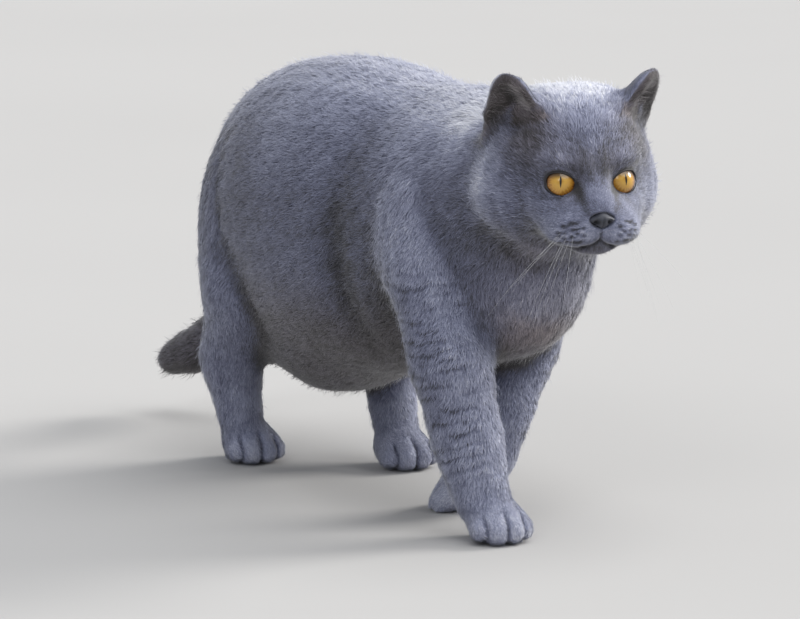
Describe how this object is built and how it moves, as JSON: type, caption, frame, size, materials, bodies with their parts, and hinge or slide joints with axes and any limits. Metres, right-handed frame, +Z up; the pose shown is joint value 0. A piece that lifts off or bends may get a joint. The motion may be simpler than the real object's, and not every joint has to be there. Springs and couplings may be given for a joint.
{
  "type": "british shorthair cat model",
  "caption": "Life-size still model of a heavy blue short-haired tomcat walking, head turned to its right, short plush coat, rests on its paws",
  "frame": {"origin": "floor level under the middle of the whole animal's length and width", "axes": "+X towards the head, +Y to the cat's left, +Z up"},
  "size_m": [0.578, 0.1734, 0.2943],
  "materials": {
    "coat": "matte short plush fur, blue-grey",
    "face": "matte short fur, blue-grey",
    "tail": "matte short fur, darker grey",
    "ear": "matte fine fur, dark grey",
    "eye": "wet gloss, amber with a dark slit pupil",
    "nose": "satin, slate blue"
  },
  "bodies": {
    "root": {"head": "face", "nose": "nose", "neck": "coat", "trunk": "coat", "tail": "tail", "ear_left": "ear", "ear_right": "ear", "eye_left": "eye", "eye_right": "eye", "leg_front_left": "coat", "leg_front_right": "coat", "leg_hind_left": "coat", "leg_hind_right": "coat", "paw_front_left": "coat", "paw_front_right": "coat", "paw_hind_left": "coat", "paw_hind_right": "coat"}
  },
  "joints": []
}
